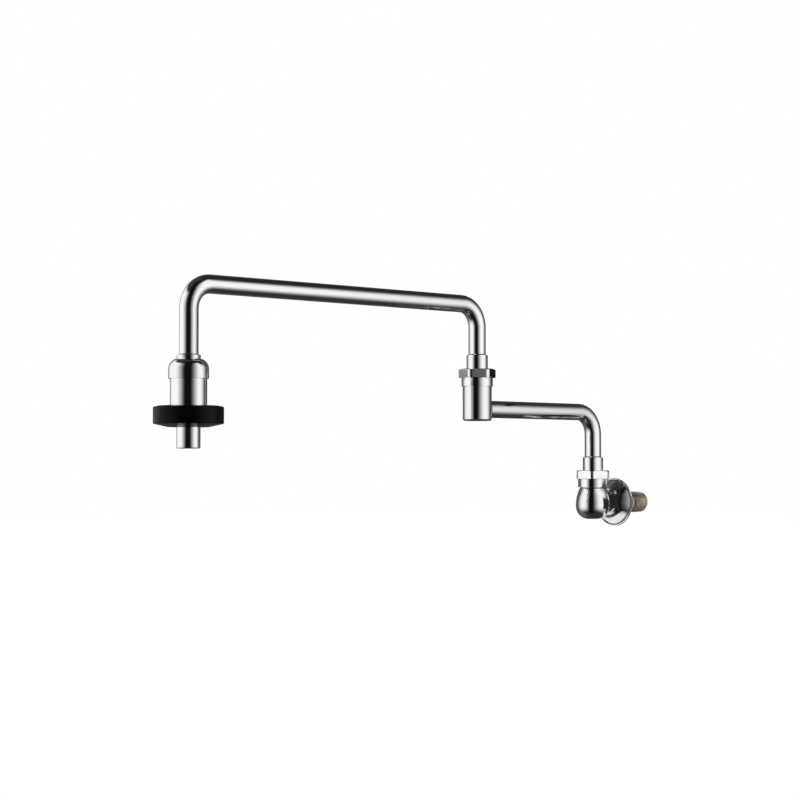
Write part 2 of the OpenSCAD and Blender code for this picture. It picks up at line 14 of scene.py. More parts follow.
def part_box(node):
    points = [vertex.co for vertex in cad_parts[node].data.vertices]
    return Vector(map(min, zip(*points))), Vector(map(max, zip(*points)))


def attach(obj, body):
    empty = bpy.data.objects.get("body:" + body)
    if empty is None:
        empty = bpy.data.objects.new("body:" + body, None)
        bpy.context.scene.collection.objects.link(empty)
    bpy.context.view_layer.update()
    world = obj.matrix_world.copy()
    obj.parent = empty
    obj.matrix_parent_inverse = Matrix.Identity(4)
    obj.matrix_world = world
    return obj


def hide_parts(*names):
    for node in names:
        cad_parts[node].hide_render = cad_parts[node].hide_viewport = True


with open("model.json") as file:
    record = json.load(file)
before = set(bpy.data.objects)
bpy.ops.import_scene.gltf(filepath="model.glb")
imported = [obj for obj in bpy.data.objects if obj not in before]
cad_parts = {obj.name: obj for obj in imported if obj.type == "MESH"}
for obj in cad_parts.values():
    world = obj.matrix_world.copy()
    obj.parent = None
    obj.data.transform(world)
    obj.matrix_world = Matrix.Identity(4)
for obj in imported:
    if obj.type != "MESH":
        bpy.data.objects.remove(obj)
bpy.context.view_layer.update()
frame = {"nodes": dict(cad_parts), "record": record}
MM = 0.001

# Camera, at the photograph's viewing angle

IMAGE_SIDE = 800
FOCAL_LENGTH = 2120  # in pixels of that image
SENSOR_WIDTH = 36
CAMERA_AZIMUTH = 46.75
CAMERA_ELEVATION = -2.03
CAMERA_DISTANCE = 1983.6 * MM
CAMERA_REACH = 50  # far enough for the whole floor, in metres
AIM = Vector((0, -303.7, 98)) * MM


def direction(azimuth, elevation):
    """The unit vector towards an azimuth, from -Y round to +X, and a height above the horizon,
    both in degrees."""
    turn, rise = math.radians(azimuth), math.radians(elevation)
    return Vector((math.sin(turn) * math.cos(rise), -math.cos(turn) * math.cos(rise), math.sin(rise)))


def point_at_part(item, back):
    """Turns a camera or a lamp, which look along their -Z, away from the direction back."""
    item.rotation_mode = "QUATERNION"
    item.rotation_quaternion = (-back).to_track_quat("-Z", "Y")


def place_camera():
    data = bpy.data.cameras.new("photo_camera")
    data.sensor_width = SENSOR_WIDTH
    data.lens = SENSOR_WIDTH * FOCAL_LENGTH / IMAGE_SIDE
    data.clip_end = CAMERA_REACH
    camera = bpy.data.objects.new("photo_camera", data)
    back = direction(CAMERA_AZIMUTH, CAMERA_ELEVATION)
    camera.location = AIM + back * CAMERA_DISTANCE
    point_at_part(camera, back)
    bpy.context.scene.collection.objects.link(camera)
    bpy.context.scene.camera = camera


place_camera()

# Materials


def srgb(code):
    """A colour as it is written for the screen, in the linear values that a shader takes."""
    parts = [int(code[i : i + 2], 16) / 255 for i in (1, 3, 5)]
    return tuple(p / 12.92 if p <= 0.04045 else ((p + 0.055) / 1.055) ** 2.4 for p in parts) + (1.0,)


def add_node(tree, kind, settings, inputs):
    """Adds a node with its own settings. Each input gets a constant, a socket, or the first
    output of a node."""
    node = tree.nodes.new("ShaderNode" + kind)
    for name, value in settings.items():
        setattr(node, name, value)
    for name, value in inputs.items():
        if isinstance(value, bpy.types.Node):
            value = next(output for output in value.outputs if output.enabled)
        if isinstance(value, bpy.types.NodeSocket):
            tree.links.new(value, node.inputs[name])
        else:
            node.inputs[name].default_value = value
    return node


MIX_COLOURS = {"data_type": "RGBA"}
FACTOR, FIRST, SECOND = 0, 6, 7  # the inputs of a Mix node that mixes colours
SPREAD = {"From Min": 0.3, "From Max": 0.7}  # what a noise mostly spans


def start_finish(name):
    """A new material with an empty tree, and where a point is on the piece, in metres."""
    material = bpy.data.materials.new(name)
    material.use_nodes = True
    tree = material.node_tree
    tree.nodes.clear()
    place = add_node(tree, "TexCoord", {}, {}).outputs["Object"]
    return material, tree, place


def end_finish(tree, shader_inputs):
    """Ends the material in one Principled shader."""
    shader = add_node(tree, "BsdfPrincipled", {}, shader_inputs)
    add_node(tree, "OutputMaterial", {}, {"Surface": shader})


def polished_chrome():
    """Bright nickel and chrome plate on buffed brass: a mirror, with a faint haze that the buff
    leaves, and a waviness a few microns deep that only bends the edges of what it reflects."""
    material, tree, place = start_finish("polished_chrome_plate")
    haze = add_node(tree, "TexNoise", {}, {"Vector": place, "Scale": 1 / (16 * MM), "Detail": 3.0})
    gloss = add_node(tree, "MapRange", {}, {"Value": haze, **SPREAD, "To Min": 0.02, "To Max": 0.05})
    waves = add_node(tree, "TexNoise", {}, {"Vector": place, "Scale": 1 / (9 * MM), "Detail": 1.0})
    relief = add_node(tree, "Bump", {}, {"Height": waves, "Distance": 0.006 * MM})
    plate = {"Base Color": srgb("#F6F7F8"), "Metallic": 1.0}
    end_finish(tree, {**plate, "Roughness": gloss, "Normal": relief})
    return material


def cast_chrome():
    """Chrome plate on a buffed sand casting: the same mirror, over a surface that still rolls a
    little where the casting was ground by hand."""
    material, tree, place = start_finish("chromed_brass_casting")
    haze = add_node(tree, "TexNoise", {}, {"Vector": place, "Scale": 1 / (10 * MM), "Detail": 3.0})
    gloss = add_node(tree, "MapRange", {}, {"Value": haze, **SPREAD, "To Min": 0.03, "To Max": 0.07})
    rolls = add_node(tree, "TexNoise", {}, {"Vector": place, "Scale": 1 / (12 * MM), "Detail": 2.0})
    relief = add_node(tree, "Bump", {}, {"Height": rolls, "Distance": 0.02 * MM})
    plate = {"Base Color": srgb("#F3F4F5"), "Metallic": 1.0}
    end_finish(tree, {**plate, "Roughness": gloss, "Normal": relief})
    return material


def drawn_brass_pipe():
    """Unplated brass pipe, drawn, handled and gone dull: brown patches over a yellow metal, and
    scratches round it from the threading machine's jaws. Real ones are a tenth of a millimetre
    apart and less. These are drawn four times as far apart, so that they show."""
    material, tree, place = start_finish("dull_brass_pipe")
    patches = add_node(tree, "TexNoise", {}, {"Vector": place, "Scale": 1 / (7 * MM), "Detail": 3.0})
    tarnish = add_node(tree, "MapRange", {}, {"Value": patches, **SPREAD})
    tones = {FIRST: srgb("#E2D5C2"), SECOND: srgb("#BFB09A")}
    colour = add_node(tree, "Mix", MIX_COLOURS, {FACTOR: tarnish, **tones})
    gloss = add_node(tree, "MapRange", {}, {"Value": patches, **SPREAD, "To Min": 0.26, "To Max": 0.42})
    along = add_node(tree, "Mapping", {}, {"Vector": place, "Scale": (1.0, 12.0, 1.0)})
    fine = {"Scale": 1 / (5 * MM), "Detail": 4.0, "Roughness": 0.7}
    scratches = add_node(tree, "TexNoise", {}, {"Vector": along, **fine})
    relief = add_node(tree, "Bump", {}, {"Height": scratches, "Distance": 0.01 * MM})
    end_finish(tree, {"Base Color": colour, "Metallic": 1.0, "Roughness": gloss, "Normal": relief})
    return material


def turned_brass():
    """Free-cutting brass straight off the lathe: yellow, with the tool's rings. Real ones are
    0.1 mm apart. These are 0.75 mm apart, so that they show."""
    material, tree, place = start_finish("turned_brass")
    tint = add_node(tree, "TexNoise", {}, {"Vector": place, "Scale": 1 / (6 * MM), "Detail": 3.0})
    tones = {FIRST: srgb("#D9BE7A"), SECOND: srgb("#C7A65E")}
    colour = add_node(tree, "Mix", MIX_COLOURS, {FACTOR: tint, **tones})
    gloss = add_node(tree, "MapRange", {}, {"Value": tint, **SPREAD, "To Min": 0.18, "To Max": 0.28})
    # A wave's bands lie pi / 10 apart at a scale of 1
    bands = {"Scale": 1 / (2.4 * MM), "Distortion": 0.4}
    rings = add_node(tree, "TexWave", {"bands_direction": "Z"}, {"Vector": place, **bands})
    relief = add_node(tree, "Bump", {}, {"Height": rings.outputs["Fac"], "Distance": 0.01 * MM})
    end_finish(tree, {"Base Color": colour, "Metallic": 1.0, "Roughness": gloss, "Normal": relief})
    return material


def turned_steel():
    """Stainless screw stock, turned: grey and a little satin, its grain coarser than the real."""
    material, tree, place = start_finish("turned_stainless_steel")
    grain = add_node(tree, "TexNoise", {}, {"Vector": place, "Scale": 1 / (0.8 * MM), "Detail": 3.0})
    gloss = add_node(tree, "MapRange", {}, {"Value": grain, **SPREAD, "To Min": 0.22, "To Max": 0.34})
    relief = add_node(tree, "Bump", {}, {"Height": grain, "Distance": 0.01 * MM})
    metal = {"Base Color": srgb("#B4B4B1"), "Metallic": 1.0}
    end_finish(tree, {**metal, "Roughness": gloss, "Normal": relief})
    return material


def moulded_phenolic():
    """Compression-moulded black phenolic: a hard, glossy skin with the faint orange peel of the
    mould, rubbed a little paler where hands have turned it."""
    material, tree, place = start_finish("moulded_black_phenolic")
    blotches = {"Scale": 1 / (9 * MM), "Detail": 4.0, "Roughness": 0.6}
    wear = add_node(tree, "TexNoise", {}, {"Vector": place, **blotches})
    rubbed = add_node(tree, "MapRange", {}, {"Value": wear, **SPREAD})
    tones = {FIRST: srgb("#030304"), SECOND: srgb("#080809")}
    colour = add_node(tree, "Mix", MIX_COLOURS, {FACTOR: rubbed, **tones})
    gloss = add_node(tree, "MapRange", {}, {"Value": wear, **SPREAD, "To Min": 0.16, "To Max": 0.26})
    peel = add_node(tree, "TexNoise", {}, {"Vector": place, "Scale": 1 / (1.6 * MM), "Detail": 2.0})
    relief = add_node(tree, "Bump", {}, {"Height": peel, "Distance": 0.02 * MM})
    skin = {"Base Color": colour, "Specular IOR Level": 0.1}
    end_finish(tree, {**skin, "Roughness": gloss, "Normal": relief})
    return material


def moulded_rubber():
    """EPDM rubber for seals: matt black, with a dusty bloom."""
    material, tree, place = start_finish("moulded_seal_rubber")
    bloom = add_node(tree, "TexNoise", {}, {"Vector": place, "Scale": 1 / (2 * MM), "Detail": 4.0})
    tones = {FIRST: srgb("#161616"), SECOND: srgb("#242423")}
    colour = add_node(tree, "Mix", MIX_COLOURS, {FACTOR: bloom, **tones})
    gloss = add_node(tree, "MapRange", {}, {"Value": bloom, **SPREAD, "To Min": 0.6, "To Max": 0.8})
    relief = add_node(tree, "Bump", {}, {"Height": bloom, "Distance": 0.02 * MM})
    end_finish(tree, {"Base Color": colour, "Roughness": gloss, "IOR": 1.5, "Normal": relief})
    return material


def slip_plastic():
    """PTFE sheet, stamped into washers: waxy white."""
    material, tree, place = start_finish("stamped_white_ptfe")
    wax = add_node(tree, "TexNoise", {}, {"Vector": place, "Scale": 1 / (3 * MM), "Detail": 3.0})
    tones = {FIRST: srgb("#E9E9E3"), SECOND: srgb("#DCDCD5")}
    colour = add_node(tree, "Mix", MIX_COLOURS, {FACTOR: wax, **tones})
    gloss = add_node(tree, "MapRange", {}, {"Value": wax, **SPREAD, "To Min": 0.38, "To Max": 0.5})
    relief = add_node(tree, "Bump", {}, {"Height": wax, "Distance": 0.01 * MM})
    end_finish(tree, {"Base Color": colour, "Roughness": gloss, "IOR": 1.35, "Normal": relief})
    return material


chrome = polished_chrome()
casting = cast_chrome()
pipe_brass = drawn_brass_pipe()
phenolic = moulded_phenolic()

# The CAD nodes keep their shapes and take the real finishes

SLOT_FINISHES = {
    "chrome": chrome,
    "cast_brass": pipe_brass,
    "turned_brass": turned_brass(),
    "steel": turned_steel(),
    "seal_rubber": moulded_rubber(),
    "slip_plastic": slip_plastic(),
    "black_phenolic": phenolic,
}
CASTINGS = ("elbow_body", "middle_body")


def dress_cad_nodes():
    """Gives each node its record's finish, and the castings their own."""
    slots = {part["node"]: part["material_slot"] for part in frame["record"]["subparts"]}
    for name, node in frame["nodes"].items():
        material = casting if name in CASTINGS else SLOT_FINISHES[slots[name]]
        if not node.material_slots:
            node.data.materials.append(material)
        for slot in node.material_slots:
            slot.material = material


dress_cad_nodes()

# Pieces

ROUND = 96  # steps in a full turn
WELD = 0.002 * MM
SHARP = math.radians(50)  # more than one step of a broken edge, which has to look round
BROKEN = math.radians(32)  # the least corner that soften breaks


def finish_piece(name, bm, body, material, replaced=()):
    """Turns a bmesh into a piece that rides on a body. It is smooth but for its sharp edges, and
    its large faces look flat right up to their broken edges."""
    bmesh.ops.remove_doubles(bm, verts=bm.verts, dist=WELD)
    bmesh.ops.recalc_face_normals(bm, faces=bm.faces)
    mesh = bpy.data.meshes.new(name)
    bm.to_mesh(mesh)
    bm.free()
    mesh.shade_smooth()
    mesh.set_sharp_from_angle(angle=SHARP)
    mesh.materials.append(material)
    piece = bpy.data.objects.new(name, mesh)
    bpy.context.scene.collection.objects.link(piece)
    even_shine = piece.modifiers.new("even_shine", "WEIGHTED_NORMAL")
    even_shine.keep_sharp = True
    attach(piece, body)
    if replaced:
        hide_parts(*replaced)


def soften(bm, width):
    """Breaks every sharp edge by a small round."""
    bm.normal_update()
    edges = [e for e in bm.edges if len(e.link_faces) == 2 and e.calc_face_angle() > BROKEN]
    bmesh.ops.bevel(
        bm,
        geom=edges,
        offset=width,
        offset_type="OFFSET",
        affect="EDGES",
        segments=2,
        profile=0.5,
        material=-1,
        clamp_overlap=True,
    )


def closed_chain(bm, points):
    """A closed chain of vertices and edges, as geometry to spin."""
    verts = [bm.verts.new(point) for point in points]
    return verts + [bm.edges.new(pair) for pair in zip(verts, verts[1:] + verts[:1])]


def lathe(bm, outline, centre, axis):
    """Turns a closed outline of (radius, height) points about an axis, Y or Z, through centre."""
    up = Vector(axis)
    points = [centre + Vector((radius, 0, 0)) + up * height for radius, height in outline]
    bmesh.ops.spin(
        bm,
        geom=closed_chain(bm, points),
        cent=centre,
        axis=up,
        dvec=(0, 0, 0),
        angle=math.tau,
        steps=ROUND,
        use_merge=True,
    )


# Inlet pipe: half-inch taper thread, 14 turns to the inch

PIPE_RADIUS = 10.67 * MM
PIPE_BORE_RADIUS = 7.9 * MM
BORE_CHAMFER = 0.3 * MM
END_CHAMFER = 0.4 * MM
HIDDEN_RADIUS = 10.17 * MM  # of the end that is screwed into the elbow
HIDDEN_CHAMFER = 1.4 * MM
PITCH = 25.4 / 14 * MM
THREAD_TAPER = 1 / 32  # what the radius gains over the length
THREAD_LENGTH = 20 * MM
RUN_OUT = 4 * MM
CREST_AT_END = 10.36 * MM
ROOT_AT_END = 9.05 * MM
CREST_FLAT = 0.08  # half the tooth's width at its crest, in pitches
ROOT_SPREAD = 0.46  # half its width at its foot, in pitches
TOOTH_HEIGHT = 1.5 * MM  # as it is spun, before it is drawn down to the taper
TOOTH_SUNK = 0.2 * MM  # how deep its foot lies in the pipe
TOOTH_STEPS = 48  # in a turn


def threaded_pipe():
    """The pipe, chamfered at both ends, with the thread's ridge round its outer end."""
    low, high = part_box("inlet_nipple")
    start, end = low.y, high.y
    thread_start = end - THREAD_LENGTH
    root_at_start = ROOT_AT_END + THREAD_LENGTH * THREAD_TAPER
    outline = [
        (PIPE_BORE_RADIUS, start),
        (HIDDEN_RADIUS - HIDDEN_CHAMFER, start),
        (HIDDEN_RADIUS, start + HIDDEN_CHAMFER),
        (HIDDEN_RADIUS, 0),
        (PIPE_RADIUS, 0),
        (PIPE_RADIUS, thread_start - RUN_OUT),
        (root_at_start, thread_start),
        (ROOT_AT_END, end - END_CHAMFER),
        (ROOT_AT_END - END_CHAMFER, end),
        (PIPE_BORE_RADIUS + BORE_CHAMFER, end),
        (PIPE_BORE_RADIUS, end - BORE_CHAMFER),
    ]
    bm = bmesh.new()
    lathe(bm, outline, Vector((0, 0, 0)), (0, 1, 0))
    ridge = cut_ridge(thread_start - RUN_OUT, end)
    ridge_mesh = bpy.data.meshes.new("ridge")
    ridge.to_mesh(ridge_mesh)
    ridge.free()
    bm.from_mesh(ridge_mesh)
    bpy.data.meshes.remove(ridge_mesh)
    finish_piece("threaded_inlet_pipe", bm, "wall_base", pipe_brass, ["inlet_nipple"])


def cut_ridge(start, end):
    """The thread's ridge: a tooth spun along the pipe and cut off at its end, then drawn down to
    the taper and faded out at the shank."""
    bm = bmesh.new()
    crest, root = PIPE_RADIUS, PIPE_RADIUS - TOOTH_HEIGHT
    tooth = [
        (root, start - ROOT_SPREAD * PITCH, 0),
        (crest, start - CREST_FLAT * PITCH, 0),
        (crest, start + CREST_FLAT * PITCH, 0),
        (root, start + ROOT_SPREAD * PITCH, 0),
    ]
    turns = math.ceil((end - start) / PITCH) + 1
    bmesh.ops.spin(
        bm,
        geom=closed_chain(bm, tooth),
        cent=(0, 0, 0),
        axis=(0, 1, 0),
        dvec=(0, PITCH / TOOTH_STEPS, 0),
        angle=math.tau * turns,
        steps=turns * TOOTH_STEPS,
    )
    whole = bm.verts[:] + bm.edges[:] + bm.faces[:]
    bmesh.ops.bisect_plane(bm, geom=whole, plane_co=(0, end, 0), plane_no=(0, 1, 0), clear_outer=True)
    bmesh.ops.holes_fill(bm, edges=[e for e in bm.edges if e.is_boundary])
    for vert in bm.verts:
        radius = math.hypot(vert.co.x, vert.co.z)
        depth = end - vert.co.y
        taper = depth * THREAD_TAPER
        if radius > (crest + root) / 2:
            wanted = min(PIPE_RADIUS, CREST_AT_END + taper, ROOT_AT_END + depth)
        else:
            wanted = ROOT_AT_END + taper - TOOTH_SUNK
        vert.co.x *= wanted / radius
        vert.co.z *= wanted / radius
    return bm


threaded_pipe()

# Swivel nuts, with the same sizes as the CAD nodes that they stand for

NUT_FLAT = 16.25 * MM  # half the width across two flats
NUT_CORNER = 4.5 * MM  # the radius that rounds a corner
NUT_SKIRT = 15.2 * MM  # the radius of the round skirt
NUT_SKIRT_HEIGHT = 8.4 * MM
NUT_TOP = 15.65 * MM  # the radius of the top inside its chamfer
NUT_CHAMFER = math.radians(25)
NUT_SHELF = 3.4 * MM  # how thick the top is above the threaded hollow
NUT_THREAD = 13.04 * MM  # the radius of that hollow
NUT_HOLE = 10.55 * MM  # the radius of the hole round the sleeve
NUT_EDGE = 0.25 * MM
HALF_SIDE = math.radians(30)  # half the angle that a side of the hexagon takes up
SIDE_CUTS = 10  # so that the chamfer's curve on a flat is smooth


def ring_above(bm, ring, centre_y, reshape):
    """Extrudes a closed ring of edges round centre_y. reshape turns a point's radius into its new
    radius and height. Returns the new ring."""
    out = bmesh.ops.extrude_edge_only(bm, edges=ring)["geom"]
    verts = {item for item in out if isinstance(item, bmesh.types.BMVert)}
    for vert in verts:
        away = Vector((vert.co.x, vert.co.y - centre_y, 0))
        radius, height = reshape(away.length)
        away = away.normalized() * radius
        vert.co = Vector((away.x, centre_y + away.y, height))
    edges = [item for item in out if isinstance(item, bmesh.types.BMEdge)]
    return [edge for edge in edges if verts.issuperset(edge.verts)]


def round_hexagon(bm, turn):
    """A ring of edges: a hexagon with rounded corners, one of them at the given turn from +X."""
    bmesh.ops.create_circle(bm, cap_ends=True, radius=NUT_FLAT / math.cos(HALF_SIDE), segments=6)
    bmesh.ops.rotate(bm, verts=bm.verts, matrix=Matrix.Rotation(math.radians(turn - 90), 3, "Z"))
    bmesh.ops.bevel(
        bm,
        geom=bm.verts[:],
        offset=NUT_CORNER * math.tan(HALF_SIDE),
        offset_type="OFFSET",
        affect="VERTICES",
        segments=8,
        profile=0.5,
        material=-1,
        clamp_overlap=True,
    )
    sides = sorted(bm.edges, key=lambda e: -e.calc_length())[:6]
    bmesh.ops.subdivide_edges(bm, edges=sides, cuts=SIDE_CUTS)
    bmesh.ops.delete(bm, geom=bm.faces[:], context="FACES_ONLY")
    return bm.edges[:]


def swivel_nut(name, node, body, turn):
    """A hexagon on a round skirt, chamfered on top and hollow below, made as one closed loop of
    rings."""
    low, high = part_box(node)
    centre_y = (low.y + high.y) / 2
    foot, top = low.z, high.z
    shoulder = foot + NUT_SKIRT_HEIGHT
    bm = bmesh.new()
    base = round_hexagon(bm, turn)
    bmesh.ops.translate(bm, verts=bm.verts, vec=(0, centre_y, shoulder))

    def chamfer_line(radius):
        return radius, top - (radius - NUT_TOP) * math.tan(NUT_CHAMFER)

    ring = ring_above(bm, base, centre_y, chamfer_line)
    for radius, height in (
        (NUT_TOP, top),
        (NUT_HOLE, top),
        (NUT_HOLE, top - NUT_SHELF),
        (NUT_THREAD, top - NUT_SHELF),
        (NUT_THREAD, foot),
        (NUT_SKIRT, foot),
        (NUT_SKIRT, shoulder),
    ):
        ring = ring_above(bm, ring, centre_y, lambda _, r=radius, h=height: (r, h))
    bmesh.ops.bridge_loops(bm, edges=ring + base)
    bmesh.ops.recalc_face_normals(bm, faces=bm.faces)
    soften(bm, NUT_EDGE)
    finish_piece(name, bm, body, chrome, [node])


swivel_nut("base_swivel_nut", "base_nut", "wall_base", turn=9)
swivel_nut("middle_swivel_nut", "middle_nut", "first_arm", turn=51)

# Turned and moulded round pieces, with the same sizes as the CAD nodes that they stand for

TURNED_EDGE = 0.25 * MM
MOULDED_EDGE = 0.45 * MM
DOME_STEPS = 14


def round_piece(name, node, body, material, outline, edge):
    """Lathes an outline of radii and heights above the node's foot, in millimetres, and breaks
    its edges."""
    low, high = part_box(node)
    foot = Vector((0, (low.y + high.y) / 2, low.z))
    bm = bmesh.new()
    lathe(bm, [(radius * MM, height * MM) for radius, height in outline], foot, (0, 0, 1))
    soften(bm, edge)
    finish_piece(name, bm, body, material, [node])


def dome(centre_radius, centre_height, radius, end_radius):
    """The points of a domed edge, from its side up to where it meets a hole."""
    end = math.acos((end_radius - centre_radius) / radius)
    angles = [end * i / DOME_STEPS for i in range(DOME_STEPS + 1)]
    return [(centre_radius + radius * math.cos(a), centre_height + radius * math.sin(a)) for a in angles]


# The moulding closes round the brass insert, so its hole is as narrow as the insert's flats
DIAL_OUTLINE = [
    (8.7, 0),
    (18, 0),
    (30.35, 2.8),  # the rim, above the sloped underside
    (30.35, 17.2),
    (26, 18.3),
    (16.4, 18.3),
    (16.4, 10.5),  # the well that the valve's body goes into
    (8.7, 10.5),
]
NOZZLE_OUTLINE = [
    (7.4, 0),
    (9.7, 0),
    (10.3, 0.6),
    (10.3, 18.3),
    (5.94, 18.3),
    (5.94, 8.3),  # the threaded hole that takes the spindle
    (4.5, 8.3),
    (4.5, 7.5),  # the web above the open outlet
    (7.4, 7.5),
]
CAP_OUTLINE = [
    (14.04, 0),
    (17.4, 0),
    *dome(8.4, 8.45, 9, 10.39),
    (10.39, 11.59),
    (13.4, 11.59),  # the face that pulls the sleeve's collar down
    (13.4, 9.05),
    (14.04, 9.05),
]
VALVE_SLEEVE_OUTLINE = [
    (7.2, 0),
    (13.2, 0),
    (13.2, 2.5),  # the collar
    (10.35, 2.5),
    (10.35, 11.3),
    (8.44, 11.3),
    (8.44, 1),  # the step that the tube stands on
    (7.2, 1),
]
SWIVEL_SLEEVE_OUTLINE = [
    (7.2, 0),
    (10.35, 0),
    (10.35, 2.85),
    (8.51, 2.85),  # the lower O-ring's groove
    (8.51, 5.15),
    (10.35, 5.15),
    (10.35, 12.85),
    (8.51, 12.85),  # the upper O-ring's groove
    (8.51, 15.15),
    (10.35, 15.15),
    (10.35, 18),
    (12.6, 18),  # the collar between the slip washers
    (12.6, 20.5),
    (10.35, 20.5),
    (10.35, 38.08),
    (8.44, 38.08),
    (8.44, 19.25),  # the step that the tube stands on
    (7.2, 19.25),
]
TURNED_PIECES = (
    ("turned_nozzle", "outlet_nozzle", "dial", NOZZLE_OUTLINE),
    ("turned_cap", "valve_cap", "second_arm", CAP_OUTLINE),
    ("turned_valve_sleeve", "valve_ferrule", "second_arm", VALVE_SLEEVE_OUTLINE),
    ("turned_base_sleeve", "base_ferrule", "first_arm", SWIVEL_SLEEVE_OUTLINE),
    ("turned_middle_sleeve", "middle_ferrule", "second_arm", SWIVEL_SLEEVE_OUTLINE),
)

round_piece("moulded_dial", "control_dial", "dial", phenolic, DIAL_OUTLINE, MOULDED_EDGE)
for name, node, body, outline in TURNED_PIECES:
    round_piece(name, node, body, chrome, outline, TURNED_EDGE)

# Silver solder where the tubes enter the sleeves and the middle body

TUBE_RADIUS = 8.4 * MM
SOLDER_LEG = 0.9 * MM
SADDLE_LEG = 1.3 * MM
SOLDER_SUNK = 0.1 * MM  # how deep the fillet lies in the tube and the flat
SOLDER_POINTS = 5


def solder_outline(leg):
    """A small concave fillet that stands on a flat at height 0, round the tube."""
    curve = []
    for i in range(SOLDER_POINTS):
        angle = math.pi / 2 * i / (SOLDER_POINTS - 1)
        curve.append((TUBE_RADIUS + leg * (1 - math.cos(angle)), leg * (1 - math.sin(angle))))
    return curve + [
        (TUBE_RADIUS - SOLDER_SUNK, leg),
        (TUBE_RADIUS - SOLDER_SUNK, -SOLDER_SUNK),
        (TUBE_RADIUS + leg, -SOLDER_SUNK),
    ]


def solder_ring(name, node, body):
    """Solder on a sleeve's top, round the tube."""
    low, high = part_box(node)
    bm = bmesh.new()
    lathe(bm, solder_outline(SOLDER_LEG), Vector((0, (low.y + high.y) / 2, high.z)), (0, 0, 1))
    finish_piece(name, bm, body, chrome)


def saddle_solder():
    """Solder round the first arm's tube, bent back to follow the middle body's round side."""
    low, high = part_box("middle_body")
    tube_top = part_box("first_arm_tube")[1].z
    radius = (high.x - low.x) / 2
    bm = bmesh.new()
    lathe(bm, solder_outline(SADDLE_LEG), Vector((0, high.y, tube_top - TUBE_RADIUS)), (0, 1, 0))
    for vert in bm.verts:
        vert.co.y -= radius - math.sqrt(radius**2 - vert.co.x**2)
    finish_piece("middle_body_solder", bm, "first_arm", chrome)


solder_ring("base_sleeve_solder", "base_ferrule", "first_arm")
solder_ring("middle_sleeve_solder", "middle_ferrule", "second_arm")
solder_ring("valve_sleeve_solder", "valve_ferrule", "second_arm")
saddle_solder()

# Studio: a white sweep and two soft lamps

FLOOR_HEIGHT = -0.45
FLOOR_REACH = 20
WHITE = (1, 1, 1, 1)
WORLD_FILL = 0.7  # the world's strength as light on the object
PAPER = (0.95, 0.95, 0.95, 1)
PAPER_GLOW = 1.09  # lifts the paper to white where the camera sees it
PAPER_GLOW_SHARE = 0.8
LAMP_SIDE = 1.4
LAMP_DISTANCE = 2.2
MIDDLE = Vector((0, -0.201, 0.1))  # where the flags and the lamps are placed from


def seen_directly(tree):
    """1 for rays that come from the camera, or by way of a mirror or glass, and 0 for the light
    on the object."""
    path = add_node(tree, "LightPath", {}, {})
    either = {"operation": "MAXIMUM"}
    rays = {0: path.outputs["Is Camera Ray"], 1: path.outputs["Is Glossy Ray"]}
    mirror = add_node(tree, "Math", either, rays)
    return add_node(tree, "Math", either, {0: mirror, 1: path.outputs["Is Transmission Ray"]})


def light_world():
    """A white world, which gives the object a little less light than it shows."""
    world = bpy.data.worlds.new("white_sweep")
    bpy.context.scene.world = world
    world.use_nodes = True
    tree = world.node_tree
    tree.nodes.clear()
    levels = {"To Min": WORLD_FILL, "To Max": 1.0}
    strength = add_node(tree, "MapRange", {}, {"Value": seen_directly(tree), **levels})
    sky = add_node(tree, "Background", {}, {"Color": WHITE, "Strength": strength})
    add_node(tree, "OutputWorld", {}, {"Surface": sky})


def stage_mesh(name, bm, material):
    """Adds a mesh that belongs to the studio, not to the object."""
    mesh = bpy.data.meshes.new(name)
    bm.to_mesh(mesh)
    bm.free()
    mesh.materials.append(material)
    item = bpy.data.objects.new(name, mesh)
    bpy.context.scene.collection.objects.link(item)
    return item


def lay_floor():
    """White paper, which glows to the camera and still takes the object's shadow."""
    material, tree, _ = start_finish("white_floor_paper")
    paper = add_node(tree, "BsdfDiffuse", {}, {"Color": PAPER})
    glow = add_node(tree, "Emission", {}, {"Color": WHITE, "Strength": PAPER_GLOW})
    seen = seen_directly(tree)
    share = add_node(tree, "Math", {"operation": "MULTIPLY"}, {0: seen, 1: PAPER_GLOW_SHARE})
    mixed = add_node(tree, "MixShader", {}, {0: share, 1: paper, 2: glow})
    add_node(tree, "OutputMaterial", {}, {"Surface": mixed})
    bm = bmesh.new()
    bmesh.ops.create_grid(bm, x_segments=1, y_segments=1, size=FLOOR_REACH)
    bmesh.ops.translate(bm, verts=bm.verts, vec=(0, 0, FLOOR_HEIGHT))
    floor = stage_mesh("floor_paper", bm, material)
    floor.visible_glossy = False


def soft_lamp(name, azimuth, elevation, power):
    """A square lamp that no reflection shows."""
    data = bpy.data.lights.new(name, "AREA")
    data.shape = "SQUARE"
    data.size = LAMP_SIDE
    data.energy = power
    lamp = bpy.data.objects.new(name, data)
    back = direction(azimuth, elevation)
    lamp.location = MIDDLE + back * LAMP_DISTANCE
    point_at_part(lamp, back)
    lamp.visible_glossy = False
    bpy.context.scene.collection.objects.link(lamp)


light_world()
lay_floor()
soft_lamp("key_lamp", azimuth=-10, elevation=50, power=14)
soft_lamp("fill_lamp", azimuth=100, elevation=25, power=7)

# Flags and cards: glowing sheets with soft edges that only reflections see, painted reflections

SMOOTH = {"interpolation_type": "SMOOTHSTEP"}
FLAG_STEPS = (24, 16)
CARD_STEPS = (1, 1)
CARD_FADES = (0.22, 0.22, 0.25, 0.25)


